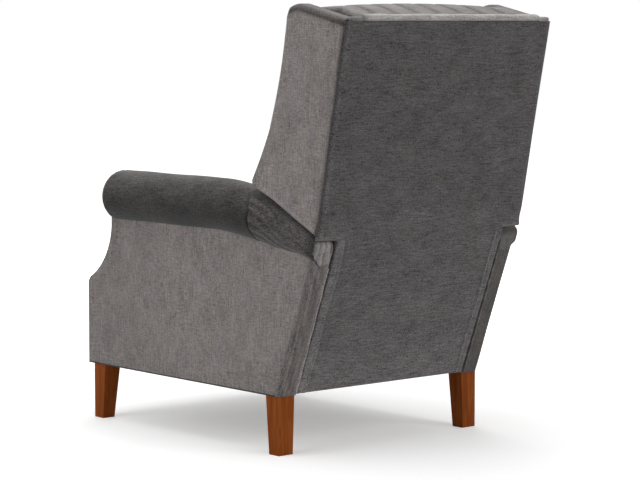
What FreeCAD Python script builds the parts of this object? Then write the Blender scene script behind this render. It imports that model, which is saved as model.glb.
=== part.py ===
import FreeCAD, Part
import math
import os

os.makedirs("parts", exist_ok=True)

V = FreeCAD.Vector

# Wing-back push-back recliner on tapered legs. Millimetres, +Z up, the chair faces -Y.
# Y is worked out from the rear face of the rear legs and moved by SHIFT_Y at the end,
# so that the origin is under the middle of the chair.

# SEAT CUSHION in plan, and the widths from it outwards
SEAT_HALF = 280.0
SEAT_GAP = 8.0
ARM_THICK = 57.0
BACK_SIDE_GAP = 3.0
WING_PROUD = 3.0
WING_THICK = 48.0
FIT = 0.3
CUSHION_FRONT_Y = -761.0
CUSHION_REAR_Y = -146.0
ARM_IN_X = SEAT_HALF + SEAT_GAP
ARM_OUT_X = ARM_IN_X + ARM_THICK

# ARM: flat block with a scooped front edge and a raked rear edge, roll on top
ARM_SKIN = 12.0
ARM_BAND = 8.0
ARM_BOTTOM_Z = 149.0
ARM_FRONT_Y = CUSHION_FRONT_Y - 49.0
ARM_KNEE_Z = 364.0
ARM_SCOOP_Y = ARM_FRONT_Y + 110.0
ARM_SCOOP_TOP_Z = 532.0
ARM_TOP_Z = 590.0
ARM_REAR_Y = 5.0
ARM_RAKE = 0.365
ROLL_R = 69.5
ROLL_X = ARM_OUT_X - 35.5
ROLL_Z = 612.0
ROLL_FRONT_Y = ARM_SCOOP_Y - 4.0
ROLL_BEND_Y = -250.0
ROLL_END_Y = 150.0
ROLL_END_R = 30.0
ROLL_END_X = ARM_OUT_X - 22.5
ROLL_END_Z = 512.0

# LEGS
LEG_TOP = 50.5
LEG_FOOT = 38.0
LEG_OUT_X = ARM_OUT_X - 4.0
LEG_FRONT_Y = ARM_FRONT_Y + 21.0
LEG_REAR_Y = 0.0

# BACK: rear face runs lean-low up to the notch, then lean-high up to the top
BACK_HALF_LOW = ARM_IN_X - BACK_SIDE_GAP
BACK_HALF_WIDE = ARM_OUT_X + WING_PROUD
BACK_BOTTOM = (6.0, 152.0)
BACK_NOTCH = (161.0, 549.0)
BACK_TOP = (268.0, 1083.0)
BACK_SKIN = 14.0
BACK_POST = 40.0
POST_INSET = 11.0
POST_WIDE = 52.0
POST_OUT_X = BACK_HALF_LOW - POST_INSET
POST_IN_X = POST_OUT_X - POST_WIDE
RAIL_DEEP = 46.0
WING_IN_X = BACK_HALF_WIDE - WING_THICK
WING_DEPTH = 186.0
WING_RISE = 40.0
CROWN_RISE = 41.0

# SEAT, carried on four equal swing links
CUSHION_BOTTOM_Z = 359.5
CUSHION_EDGE_Z = 470.0
CUSHION_CROWN_Z = 492.0
RAIL_LOW_Z = 300.0
RAIL_TOP_Z = CUSHION_BOTTOM_Z - 14.5
SWING_LENGTH = 88.0
SWING_LEAN = math.radians(12.0)
SWING_FOOT_Z = 205.0
SWING_FRONT_Y = CUSHION_FRONT_Y + 241.0
SWING_REAR_Y = -300.0

# FOOTREST: lift link a-x, carrying link d-x-g with its roller in a straight track
PIVOT_Y = CUSHION_FRONT_Y + 16.0
PIVOT_Z = 263.0
CRANK = 62.0
CRANK_ANGLE = math.radians(-150.0)
TRACK_ANGLE = math.radians(-140.0)
REACH = 130.0
REACH_ANGLE = math.radians(120.0)
STAY_PITCH = 70.0
STAY_ANGLE = math.radians(-46.0)
FOOT_SWING = math.radians(76.0)
BOARD_BACK_U = 22.0
BOARD_THICK = 16.0
MID_RAIL_BACK = 147.0
BOARD_LOW_Z = 160.0
BOARD_TOP_Z = CUSHION_BOTTOM_Z - 3.5
BOARD_HALF = ARM_IN_X - 6.0
PAD_THICK = 45.0

# BACK PIVOT
HINGE_Y = 45.0
HINGE_Z = 380.0
HINGE_PIN_R = 8.0

# PLATE LAYERS from the arm inwards, each one plate thick with a gap beside it
PLATE = 5.0
LAYER_GAP = 1.0
BASE_PLATE_OUT = ARM_IN_X - FIT
PIN_R = 4.5
TUBE_R = 8.0
RUN = 0.05
EYE_R = 9.0
ROLLER_R = 8.9

LAYER_BASE = BASE_PLATE_OUT - PLATE
LAYER_SWING = LAYER_BASE - LAYER_GAP - PLATE
LAYER_SEAT = LAYER_SWING - LAYER_GAP - PLATE
LAYER_LIFT = LAYER_SEAT - LAYER_GAP - PLATE
LAYER_CARRY = LAYER_LIFT - LAYER_GAP - PLATE
LAYER_STAY = LAYER_CARRY - LAYER_GAP - PLATE
INSIDE = LAYER_STAY - LAYER_GAP

PAD_FRONT_Y = PIVOT_Y - BOARD_BACK_U - BOARD_THICK - PAD_THICK
SHIFT_Y = -(PAD_FRONT_Y + BACK_TOP[0]) / 2.0


def path(start, *steps):
    """Closed wire in the YZ plane: a step is an end point, or a (mid, end) pair for an arc."""
    edges = []
    here = start
    for step in steps + (start,):
        if isinstance(step[0], tuple):
            mid, end = step
            edges.append(Part.Arc(V(0, *here), V(0, *mid), V(0, *end)).toShape())
        else:
            end = step
            if math.dist(here, end) < 1e-6:
                continue
            edges.append(Part.makeLine(V(0, *here), V(0, *end)))
        here = end
    return Part.Wire(edges)


def slab(wire, x_low, x_high):
    """The area inside a YZ wire, made solid from x_low to x_high."""
    face = Part.Face(wire)
    face.translate(V(x_low, 0, 0))
    return face.extrude(V(x_high - x_low, 0, 0))


def block(x0, x1, y0, y1, z0, z1):
    return Part.makeBox(x1 - x0, y1 - y0, z1 - z0, V(x0, y0, z0))


def disc(y, z, radius, x0, x1):
    return Part.makeCylinder(radius, x1 - x0, V(x0, y, z), V(1, 0, 0))


def bar(p, q, radius, x0, x1):
    """Flat round-ended bar between two pivots in the YZ plane."""
    dy, dz = q[0] - p[0], q[1] - p[1]
    length = math.hypot(dy, dz)
    ny, nz = -dz / length * radius, dy / length * radius
    body = slab(path((p[0] + ny, p[1] + nz), (q[0] + ny, q[1] + nz),
                     (q[0] - ny, q[1] - nz), (p[0] - ny, p[1] - nz)), x0, x1)
    body = body.fuse(disc(p[0], p[1], radius, x0, x1))
    return body.fuse(disc(q[0], q[1], radius, x0, x1))


def save(name, shape):
    shape = shape.removeSplitter() if shape.ShapeType != "Compound" else shape
    shape.translated(V(0, SHIFT_Y, 0)).exportStep("parts/" + name + ".step")


def save_pair(stem, shape):
    """The +X piece as modelled and its mirror image on the -X side."""
    twin = shape.mirror(V(0, 0, 0), V(1, 0, 0))
    save(stem + "_left", shape)
    save(stem + "_right", twin)


# ARM BLOCK
def arm_rear_y(z):
    return ARM_REAR_Y + ARM_RAKE * (z - ARM_BOTTOM_Z)


def roll_centre(y):
    """Centre x, z and radius of the roll at y: level in front, eased down to the small end."""
    t = min(max((y - ROLL_BEND_Y) / (ROLL_END_Y - ROLL_BEND_Y), 0.0), 1.0)
    drop = t ** 1.75
    late = t ** 2.2
    return (ROLL_X + (ROLL_END_X - ROLL_X) * late,
            ROLL_Z + (ROLL_END_Z - ROLL_Z) * drop,
            ROLL_R + (ROLL_END_R - ROLL_R) * late)


def roll_y(share):
    """Y at a share of the way along the roll's sloping part."""
    return ROLL_BEND_Y + share * (ROLL_END_Y - ROLL_BEND_Y)


def roll_top(y):
    return roll_centre(y)[1] + roll_centre(y)[2]


def arm_outline(gap=0.0):
    """Side view of the arm block; gap widens it for the groove in the roll."""
    knee = ARM_KNEE_Z
    top = [(ARM_SCOOP_Y - gap, ARM_TOP_Z + gap)]
    for y in map(roll_y, (0.0175, 0.375, 0.575, 0.775)):
        top.append((y, roll_centre(y)[1] - 0.32 * roll_centre(y)[2] + gap))
    end_z = ROLL_END_Z + 4
    return path((ARM_FRONT_Y - gap, ARM_BOTTOM_Z), (ARM_FRONT_Y - gap, knee),
                ((ARM_FRONT_Y + 3.5, knee + 14), (ARM_FRONT_Y + 15, knee + 24)),
                ((ARM_SCOOP_Y - 33, ARM_SCOOP_TOP_Z - 88), (ARM_SCOOP_Y - gap, ARM_SCOOP_TOP_Z)),
                *top, (arm_rear_y(end_z) + gap, end_z + gap),
                (arm_rear_y(ARM_BOTTOM_Z) + gap, ARM_BOTTOM_Z))


def arm_prism(x0, x1, move=0.0):
    prism = slab(arm_outline(), x0, x1)
    prism.translate(V(0, move, 0))
    return prism


def arm_zone(x0, x1, y0=ARM_FRONT_Y - 80, y1=ROLL_END_Y + 150, z1=ROLL_Z + 90):
    return block(x0, x1, y0, y1, 0, z1)


skin_x = ARM_OUT_X - ARM_SKIN
lining_x = ARM_IN_X + ARM_SKIN
whole = arm_prism(ARM_IN_X, ARM_OUT_X)
tail_cut = arm_prism(ARM_IN_X - 1, ARM_OUT_X + 1, -ARM_BAND)
nose_cut = arm_prism(lining_x, skin_x, ARM_BAND)
rear_band = whole.cut(tail_cut).common(arm_zone(ARM_IN_X - 1, ARM_OUT_X + 1, ARM_REAR_Y - 57, z1=ROLL_END_Z - 9))
save_pair("arm_rear_band", rear_band)
body = whole.cut(rear_band)
save_pair("arm_outer_panel", body.common(arm_zone(skin_x, ARM_OUT_X)))
save_pair("arm_inner_panel", body.common(arm_zone(ARM_IN_X, lining_x)))
middle = body.common(arm_zone(lining_x, skin_x))
save_pair("arm_core", middle.common(nose_cut))
save_pair("arm_front_band", middle.cut(nose_cut).common(arm_zone(lining_x, skin_x, y1=ARM_SCOOP_Y + 108)))

# ARM ROLL
rings = []
stations = [(ROLL_FRONT_Y, 0.94), (ROLL_FRONT_Y + 5, 0.99), (ROLL_FRONT_Y + 14, 1.0)]
stations += [(roll_y(share), 1.0) for share in (-0.775, -0.375, -0.125, 0.125, 0.375, 0.55, 0.725, 0.8625)]
stations += [(ROLL_END_Y - 9, 1.0), (ROLL_END_Y, 0.78)]
for y, ease in stations:
    cx, cz, r = roll_centre(y)
    ring = Part.Circle(V(cx, y, cz), V(0, 1, 0), r * ease).toShape()
    rings.append(Part.Wire([ring]))
roll = Part.makeLoft(rings, True, False)
roll = roll.cut(slab(arm_outline(FIT), ARM_IN_X - FIT, ARM_OUT_X + FIT))
roll = max(roll.Solids, key=lambda s: s.Volume)
save_pair("arm_roll", roll)


# LEGS
def leg(front):
    """Square leg, outer faces upright: the front one tapers on two sides, the rear one on one."""
    foot_x = LEG_FOOT if front else LEG_TOP - 5
    y_face = LEG_FRONT_Y if front else LEG_REAR_Y
    way = 1 if front else -1
    wires = []
    for z, wide_x, wide_y in ((0.0, foot_x, LEG_FOOT), (ARM_BOTTOM_Z, LEG_TOP, LEG_TOP)):
        x0 = LEG_OUT_X - wide_x
        y1 = y_face + way * wide_y
        wires.append(Part.makePolygon([V(x0, y_face, z), V(LEG_OUT_X, y_face, z),
                                       V(LEG_OUT_X, y1, z), V(x0, y1, z), V(x0, y_face, z)]))
    return Part.makeLoft(wires, True, True)


save_pair("leg_front", leg(True))
save_pair("leg_rear", leg(False))


# BASE FRAME
def swing_foot(y):
    return (y, SWING_FOOT_Z)


def swing_head(y):
    return (y + SWING_LENGTH * math.sin(SWING_LEAN), SWING_FOOT_Z + SWING_LENGTH * math.cos(SWING_LEAN))


base = block(LAYER_BASE, BASE_PLATE_OUT, SWING_FRONT_Y - 120, SWING_REAR_Y + 110,
             SWING_FOOT_Z - 37, SWING_FOOT_Z + 27)
for y in (SWING_FRONT_Y, SWING_REAR_Y):
    base = base.fuse(disc(*swing_foot(y), PIN_R, LAYER_SWING, LAYER_BASE + 1))
save_pair("base_side_plate", base)
for name, y in (("base_cross_rail_front", SWING_FRONT_Y - 70), ("base_cross_rail_rear", SWING_REAR_Y + 38)):
    save(name, block(-LAYER_BASE, LAYER_BASE, y, y + 40, SWING_FOOT_Z - 35, SWING_FOOT_Z - 5))
for name, y in (("swing_link_front", SWING_FRONT_Y), ("swing_link_rear", SWING_REAR_Y)):
    link = bar(swing_foot(y), swing_head(y), EYE_R, LAYER_SWING, LAYER_SWING + PLATE)
    link = link.cut(disc(*swing_foot(y), PIN_R + RUN, LAYER_SWING - 1, LAYER_BASE))
    link = link.cut(disc(*swing_head(y), PIN_R + RUN, LAYER_SWING - 1, LAYER_BASE))
    save_pair(name, link)

# BACK PIVOT BRACKET on the arm, with its pin
bracket = disc(HINGE_Y, HINGE_Z, 24, LAYER_BASE, BASE_PLATE_OUT)
bracket = bracket.fuse(block(LAYER_BASE, BASE_PLATE_OUT, HINGE_Y - 55, HINGE_Y, HINGE_Z - 24, HINGE_Z + 24))
bracket = bracket.fuse(disc(HINGE_Y, HINGE_Z, HINGE_PIN_R, POST_OUT_X + FIT, LAYER_BASE + 1))
save_pair("back_pivot_bracket", bracket)

# SEAT RAILS
PLATE_FRONT_Y = PIVOT_Y - BOARD_BACK_U + 7
SEAT_REAR_Y = CUSHION_REAR_Y - 59.0
MID_RAIL_Y = PIVOT_Y + MID_RAIL_BACK
RAIL_WIDE = 26.0
save("seat_rail_front", block(-INSIDE, INSIDE, PLATE_FRONT_Y, PLATE_FRONT_Y + RAIL_WIDE, RAIL_LOW_Z, RAIL_TOP_Z))
save_pair("seat_rail_side", block(INSIDE - RAIL_WIDE, INSIDE, PLATE_FRONT_Y + RAIL_WIDE, MID_RAIL_Y,
                                  RAIL_LOW_Z, RAIL_TOP_Z))
for name, y in (("seat_rail_middle", MID_RAIL_Y), ("seat_rail_rear", SEAT_REAR_Y - RAIL_WIDE)):
    save(name, block(-LAYER_SEAT, LAYER_SEAT, y, y + RAIL_WIDE, RAIL_LOW_Z, RAIL_TOP_Z))


# FOOTREST LINKAGE: u is forward, v is up, both from the lift pivot
def uv(u, v):
    return (PIVOT_Y - u, PIVOT_Z + v)


def polar(radius, angle, origin=(0.0, 0.0)):
    return (origin[0] + radius * math.cos(angle), origin[1] + radius * math.sin(angle))


cross = polar(CRANK, CRANK_ANGLE)
tail = polar(CRANK, 2 * TRACK_ANGLE - CRANK_ANGLE, cross)
carry = polar(REACH, REACH_ANGLE, cross)
elbow = polar(STAY_PITCH, STAY_ANGLE, cross)
stay = polar(STAY_PITCH, STAY_ANGLE, carry)


def hole(point, radius, x0, x1):
    return disc(*uv(*point), radius, x0, x1)


# Seat side plates: the roller's centre keeps to one slot in line with the lift pivot
spread = TRACK_ANGLE - CRANK_ANGLE
track_near = 2 * CRANK * math.cos(FOOT_SWING - spread)
track_far = 2 * CRANK
slot_a = uv(*polar(track_near - 2, TRACK_ANGLE))
slot_b = uv(*polar(track_far + 1, TRACK_ANGLE))
seat_out = LAYER_SEAT + PLATE
side = slab(path((PLATE_FRONT_Y, RAIL_TOP_Z), (SEAT_REAR_Y, RAIL_TOP_Z), (SEAT_REAR_Y, PIVOT_Z - 1),
                 (slot_b[0] + 40, PIVOT_Z - 1), (slot_b[0] + 22, PIVOT_Z - 28),
                 (slot_b[0] + 22, slot_b[1] - 4), (slot_b[0] + 2, slot_b[1] - 18),
                 (slot_b[0] - 16, slot_b[1] - 14), (PIVOT_Y + 6, PIVOT_Z - 42), (PLATE_FRONT_Y, PIVOT_Z - 14)),
            LAYER_SEAT, seat_out)
for y in (SWING_FRONT_Y, SWING_REAR_Y):
    side = side.fuse(disc(*swing_head(y), PIN_R, seat_out - 1, LAYER_SWING + PLATE))
side = side.cut(bar(slot_a, slot_b, ROLLER_R + 0.1, LAYER_SEAT - 1, seat_out + 1))
side = side.cut(hole((0, 0), TUBE_R + RUN, LAYER_SEAT - 1, seat_out + 1))
save_pair("seat_side_plate", side)

# Lift links turn on pins in the side plates; a tube joins their elbows
lift_out = LAYER_LIFT + PLATE
lift = bar(uv(0, 0), uv(*cross), EYE_R, LAYER_LIFT, lift_out)
lift = lift.fuse(bar(uv(*cross), uv(*elbow), EYE_R, LAYER_LIFT, lift_out))
lift = lift.fuse(hole((0, 0), TUBE_R, lift_out - 1, seat_out))
lift = lift.fuse(hole(cross, PIN_R, LAYER_CARRY, LAYER_LIFT + 1))
lift = lift.fuse(hole(elbow, PIN_R, INSIDE, LAYER_LIFT + 1))
save_pair("footrest_lift_link", lift)
save("footrest_cross_tube", disc(*uv(*elbow), TUBE_R, -INSIDE, INSIDE))

# Carrying links, a bell crank with the roller at its tail
carry_out = LAYER_CARRY + PLATE
crank = bar(uv(*tail), uv(*cross), EYE_R, LAYER_CARRY, carry_out)
crank = crank.fuse(bar(uv(*cross), uv(*carry), EYE_R, LAYER_CARRY, carry_out))
crank = crank.cut(hole(cross, PIN_R + RUN, LAYER_CARRY - 1, carry_out + 1))
crank = crank.fuse(hole(carry, PIN_R, carry_out - 1, lift_out))
crank = crank.fuse(hole(tail, PIN_R, carry_out - 1, LAYER_SEAT))
crank = crank.fuse(hole(tail, ROLLER_R, LAYER_SEAT, seat_out))
save_pair("footrest_carry_link", crank)

# Stay links
rod = bar(uv(*elbow), uv(*stay), EYE_R, LAYER_STAY, LAYER_STAY + PLATE)
rod = rod.cut(hole(elbow, PIN_R + RUN, LAYER_STAY - 1, LAYER_STAY + PLATE + 1))
rod = rod.cut(hole(stay, PIN_R + RUN, LAYER_STAY - 1, LAYER_STAY + PLATE + 1))
save_pair("footrest_stay_link", rod)

# Footrest brackets, board and pad
arm_low, arm_high = 24.0, 50.0
foot = bar(uv(*carry), uv(*stay), EYE_R, LAYER_LIFT, LAYER_LIFT + PLATE)
foot = foot.fuse(slab(path(uv(stay[0], arm_low + 2), uv(stay[0], arm_high), uv(BOARD_BACK_U, arm_high + 6),
                           uv(BOARD_BACK_U, arm_low - 2), uv(-20, arm_low)), LAYER_LIFT, LAYER_LIFT + PLATE))
foot = foot.cut(hole(carry, PIN_R + RUN, LAYER_LIFT - 1, LAYER_LIFT + PLATE + 1))
foot = foot.fuse(hole(stay, PIN_R, LAYER_STAY, LAYER_LIFT + 1))
save_pair("footrest_bracket", foot)
board_y = PIVOT_Y - BOARD_BACK_U
save("footrest_board", block(-BOARD_HALF, BOARD_HALF, board_y - BOARD_THICK, board_y, BOARD_LOW_Z, BOARD_TOP_Z))


def rounded_ring(half_x, half_z, mid_z, y, bulge, corner):
    """Upright rounded rectangle: four bowed sides joined by corner arcs."""
    pts = []
    for sx, sz in ((1, -1), (1, 1), (-1, 1), (-1, -1)):
        ax, az = sx * half_x, mid_z + sz * half_z
        first = (ax - sx * corner, az) if sx * sz < 0 else (ax, az - sz * corner)
        last = (ax, az - sz * corner) if sx * sz < 0 else (ax - sx * corner, az)
        k = corner * (1 - math.sqrt(0.5))
        pts.append((first, (ax - sx * k, az - sz * k), last))
    edges = []
    for i, (first, mid, last) in enumerate(pts):
        edges.append(Part.Arc(V(first[0], y, first[1]), V(mid[0], y, mid[1]), V(last[0], y, last[1])).toShape())
        nxt = pts[(i + 1) % 4][0]
        mx, mz = (last[0] + nxt[0]) / 2, (last[1] + nxt[1]) / 2
        if abs(last[0] - nxt[0]) < 1e-6:
            mx += bulge if mx > 0 else -bulge
        else:
            mz += bulge if mz > mid_z else -bulge
        edges.append(Part.Arc(V(last[0], y, last[1]), V(mx, y, mz), V(nxt[0], y, nxt[1])).toShape())
    return Part.Wire(edges)


mid_z = (BOARD_LOW_Z + BOARD_TOP_Z) / 2
half_z = (BOARD_TOP_Z - BOARD_LOW_Z) / 2
pad_back = board_y - BOARD_THICK - FIT
sections = []
pad_steps = 9
for k in range(pad_steps + 1):
    depth = math.sin(k / pad_steps * math.pi / 2)
    inset = 1.0 + 60.0 * (1 - math.sqrt(1 - 0.995 * (k / pad_steps) ** 3))
    sections.append(rounded_ring(BOARD_HALF - inset, half_z - inset, mid_z,
                                 pad_back - depth * (PAD_THICK - FIT), 0.6, 14.0))
save("footrest_pad", Part.makeLoft(sections, True, True))

# SEAT SPRINGS: a flat row of U bends from the front rail to the rear rail
SPRING_R = 2.0
SPRING_BENDS = 8
SPRING_APART = 130.0
spring_z = RAIL_TOP_Z + SPRING_R + 0.5
spring_start = PLATE_FRONT_Y + 8
pitch = (SEAT_REAR_Y - 8 - spring_start) / SPRING_BENDS
for name, cx in (("seat_spring_left", SPRING_APART), ("seat_spring_middle", 0.0),
                 ("seat_spring_right", -SPRING_APART)):
    edges = []
    for k in range(SPRING_BENDS):
        y0 = spring_start + k * pitch
        way = 1 if k % 2 else -1
        edges.append(Part.Arc(V(cx, y0, spring_z), V(cx + way * 26, y0 + pitch / 2, spring_z),
                              V(cx, y0 + pitch, spring_z)).toShape())
    spine = Part.Wire(edges)
    tangent = edges[0].tangentAt(edges[0].FirstParameter)
    section = Part.Wire([Part.Circle(V(cx, spring_start, spring_z), tangent, SPRING_R).toShape()])
    save(name, spine.makePipeShell([section], True, False, 1))

DECK_LOW = spring_z + SPRING_R + 0.5
save("seat_deck", block(-INSIDE, INSIDE, PLATE_FRONT_Y + 1, SEAT_REAR_Y,
                        DECK_LOW, CUSHION_BOTTOM_Z - 0.5))


# SEAT CUSHION: crowned box, front face bowed forward, corners drawn in
def level_ring(half_x, y_front, y_rear, z, bow, corner):
    """Level rounded rectangle with bowed sides."""
    corners = ((half_x, y_front, 1, 1), (half_x, y_rear, 1, -1),
               (-half_x, y_rear, -1, -1), (-half_x, y_front, -1, 1))
    k = corner * (1 - math.sqrt(0.5))
    arcs = []
    for i, (x, y, sx, sy) in enumerate(corners):
        on_y = (x - sx * corner, y)
        on_x = (x, y + sy * corner)
        first, last = (on_y, on_x) if i % 2 == 0 else (on_x, on_y)
        arcs.append((first, (x - sx * k, y + sy * k), last))
    edges = []
    for i, (first, mid, last) in enumerate(arcs):
        edges.append(Part.Arc(V(*first, z), V(*mid, z), V(*last, z)).toShape())
        nxt = arcs[(i + 1) % 4][0]
        mx, my = (last[0] + nxt[0]) / 2, (last[1] + nxt[1]) / 2
        if abs(last[0] - nxt[0]) < 1e-6:
            mx += bow if mx > 0 else -bow
        else:
            my += bow if my > (y_front + y_rear) / 2 else -bow
        edges.append(Part.Arc(V(*last, z), V(mx, my, z), V(*nxt, z)).toShape())
    return Part.Wire(edges)


levels = []
edge_high = CUSHION_EDGE_Z - CUSHION_BOTTOM_Z
side_steps = 10
for k in range(side_steps + 1):
    turn = math.pi * k / side_steps
    inset = 9.0 * (1 - math.sin(turn) ** 0.6)
    rise = (1 - math.cos(turn)) / 2
    levels.append(level_ring(SEAT_HALF - inset, CUSHION_FRONT_Y - 9.0 * math.sin(turn) + inset,
                             CUSHION_REAR_Y - inset, CUSHION_BOTTOM_Z + rise * edge_high, 0.8, 26.0))
crown_steps = 7
for k in range(1, crown_steps + 1):
    share = k / crown_steps
    inset = 9.0 + share * (SEAT_HALF - 80.0)
    rise = math.sin(share * math.pi / 2) ** 0.8
    levels.append(level_ring(SEAT_HALF - inset, CUSHION_FRONT_Y + inset, CUSHION_REAR_Y - inset,
                             CUSHION_EDGE_Z + rise * (CUSHION_CROWN_Z - CUSHION_EDGE_Z), 0.8, 26.0))
save("seat_cushion", Part.makeLoft(levels, True, True))


# BACK: every layer follows the rear face at its own depth
def rear_face_y(z):
    if z < BACK_NOTCH[1]:
        lean = (BACK_NOTCH[0] - BACK_BOTTOM[0]) / (BACK_NOTCH[1] - BACK_BOTTOM[1])
    else:
        lean = (BACK_TOP[0] - BACK_NOTCH[0]) / (BACK_TOP[1] - BACK_NOTCH[1])
    return BACK_NOTCH[0] + lean * (z - BACK_NOTCH[1])


def back_layer(depth0, depth1, z0, z1, bow=0.0):
    """YZ wire between two depths in front of the rear face, blended by arcs at the notch."""
    blend = 60.0
    notch = BACK_NOTCH[1]
    if z0 > notch - blend or z1 < notch:
        return path((rear_face_y(z0) - depth0, z0), (rear_face_y(z1) - depth0, z1),
                    (rear_face_y(z1) - depth1, z1), (rear_face_y(z0) - depth1, z0))
    sides = []
    for depth in (depth0, depth1):
        low, high = notch - blend, notch + blend
        mid = (BACK_NOTCH[0] - depth - 2.0, notch)
        sides.append(((rear_face_y(low) - depth, low), mid, (rear_face_y(high) - depth, high)))
    (a0, am, a1), (b0, bm, b1) = sides
    return path((rear_face_y(z0) - depth0, z0), a0, (am, a1), (rear_face_y(z1) - depth0, z1),
                (rear_face_y(z1) - depth1, z1), b1, (bm, b0), (rear_face_y(z0) - depth1, z0))


panel = slab(back_layer(0.0, BACK_SKIN, BACK_BOTTOM[1], BACK_TOP[1]), -BACK_HALF_WIDE, BACK_HALF_WIDE)
for way in (-1, 1):
    x0 = BACK_HALF_LOW if way > 0 else -BACK_HALF_WIDE - 1
    panel = panel.cut(block(x0, x0 + BACK_HALF_WIDE + 1 - BACK_HALF_LOW, BACK_BOTTOM[0] - 100, BACK_TOP[0],
                            BACK_BOTTOM[1] - 50, BACK_NOTCH[1]))
save("back_outside_panel", panel)

front_of_skin = BACK_SKIN + FIT
post_foot = BACK_BOTTOM[1] + 8
post_step = BACK_NOTCH[1] + 63
post_head = BACK_TOP[1] - 7 - RAIL_DEEP
post = slab(back_layer(front_of_skin, front_of_skin + BACK_POST, post_foot, post_head), POST_IN_X, POST_OUT_X)
post = post.fuse(slab(back_layer(front_of_skin, front_of_skin + BACK_POST, post_step, post_head),
                      POST_OUT_X, WING_IN_X - FIT))
save_pair("back_post", post)
for name, z, half in (("back_rail_top", post_head, WING_IN_X - FIT), ("back_rail_low", post_foot, POST_IN_X)):
    save(name, slab(back_layer(front_of_skin, front_of_skin + BACK_POST, z, z + RAIL_DEEP), -half, half))
plate = disc(HINGE_Y, HINGE_Z, 22, POST_OUT_X + FIT, LAYER_BASE - LAYER_GAP)
plate = plate.fuse(block(POST_OUT_X + FIT, LAYER_BASE - LAYER_GAP, HINGE_Y - 6, HINGE_Y + 18,
                         HINGE_Z - 22, HINGE_Z + 60))
plate = plate.cut(disc(HINGE_Y, HINGE_Z, HINGE_PIN_R + RUN, POST_OUT_X, LAYER_BASE))
save_pair("back_pivot_plate", plate)

# WINGS: the front edge runs down from the top, the lower edge clears the roll
def up(share):
    """Height at a share of the way from the notch to the top."""
    return BACK_NOTCH[1] + share * (BACK_TOP[1] - BACK_NOTCH[1])


wing_foot_z = BACK_NOTCH[1] + 11
wing_top = (BACK_TOP[0] - WING_DEPTH, BACK_TOP[1] + WING_RISE)
wing_low = [(y, roll_top(y) + gap) for y, gap in ((-93, 10.6), (-19, 6.8), (69, 3.5))]
nose_z = wing_low[0][1] + 24
shoulder_z = wing_top[1] - 44


def front_z(share):
    return nose_z + share * (shoulder_z - nose_z)


wing = slab(path((rear_face_y(wing_foot_z) - front_of_skin - 4, wing_foot_z),
                 (rear_face_y(post_step) - front_of_skin, post_step),
                 (rear_face_y(BACK_TOP[1]) - front_of_skin, BACK_TOP[1] + 3), wing_top,
                 ((wing_top[0] - 35, wing_top[1] - 8), (wing_top[0] - 49, shoulder_z)),
                 ((9, front_z(0.6865)), (-33, front_z(0.3238))), ((-66, front_z(0.15)), (-99, nose_z)),
                 ((-101, nose_z - 16), wing_low[0]), *wing_low[1:]), WING_IN_X, BACK_HALF_WIDE - FIT)
save_pair("wing", wing)


# INSIDE BACK: upright channels between the wings, narrowed between the arm rolls
CHANNELS = 8


def channel_ring(z, half, y_front, y_rear, swell):
    """Level outline whose front side is a row of equal arcs."""
    step = 2 * half / CHANNELS
    edges = []
    for i in range(CHANNELS):
        x0 = -half + i * step
        crest = V(x0 + step / 2, y_front - swell, z)
        edges.append(Part.Arc(V(x0, y_front, z), crest, V(x0 + step, y_front, z)).toShape())
    loop = [V(half, y_front, z), V(half, y_rear, z), V(-half, y_rear, z), V(-half, y_front, z)]
    for p, q in zip(loop, loop[1:]):
        edges.append(Part.makeLine(p, q))
    return Part.Wire(edges)


post_front = front_of_skin + BACK_POST + 2
low_half = ROLL_X - ROLL_R - 5
high_half = WING_IN_X - 3
rings = []
for z, half, y_front, swell in ((CUSHION_BOTTOM_Z - 19.5, low_half - 7, CUSHION_REAR_Y + 28, 8),
                                (CUSHION_BOTTOM_Z + 40.5, low_half - 4, CUSHION_REAR_Y + 4, 12),
                                (CUSHION_EDGE_Z + 10, low_half - 2, CUSHION_REAR_Y + 4, 14)):
    rings.append(channel_ring(z, half, y_front + swell, rear_face_y(z) - post_front, swell))
for share, half, depth, swell in ((0.0206, low_half - 1, 266.4, 14), (0.1704, low_half, 235.8, 14),
                                  (0.2921, high_half - 2, 221.0, 14), (0.5637, high_half, 206.0, 13),
                                  (0.8446, high_half, 200.0, 13), (0.9569, high_half - 1, 205.0, 12)):
    z = up(share)
    rings.append(channel_ring(z, half, rear_face_y(z) - depth + swell, rear_face_y(z) - post_front, swell))
body = Part.makeLoft(rings, True, True)
neck_z = up(0.9569)
rings = [channel_ring(neck_z, high_half - 1, rear_face_y(neck_z) - 193.0, rear_face_y(neck_z) - post_front, 12)]
for rise, narrow, front, rear, swell in ((-4, 1, 207, 59, 11), (15, 2, 201, 46, 9),
                                         (30, 4, 188, 94, 8), (CROWN_RISE, 10, 170, 140, 5)):
    rings.append(channel_ring(BACK_TOP[1] + rise, high_half - narrow, BACK_TOP[0] - front + swell,
                              BACK_TOP[0] - rear, swell))
body = body.fuse(Part.makeLoft(rings, True, True))
side_z = BACK_TOP[1] + CROWN_RISE - 11
crown = Part.Wire([Part.Arc(V(-BACK_HALF_WIDE, BACK_TOP[0] - 400, side_z - 4),
                            V(0, BACK_TOP[0] - 400, side_z + 11),
                            V(BACK_HALF_WIDE, BACK_TOP[0] - 400, side_z - 4)).toShape(),
                   Part.makePolygon([V(BACK_HALF_WIDE, BACK_TOP[0] - 400, side_z - 4),
                                     V(BACK_HALF_WIDE, BACK_TOP[0] - 400, side_z + 60),
                                     V(-BACK_HALF_WIDE, BACK_TOP[0] - 400, side_z + 60),
                                     V(-BACK_HALF_WIDE, BACK_TOP[0] - 400, side_z - 4)])])
body = body.cut(Part.Face(crown).extrude(V(0, 400, 0)))
save("inside_back", body)

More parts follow.
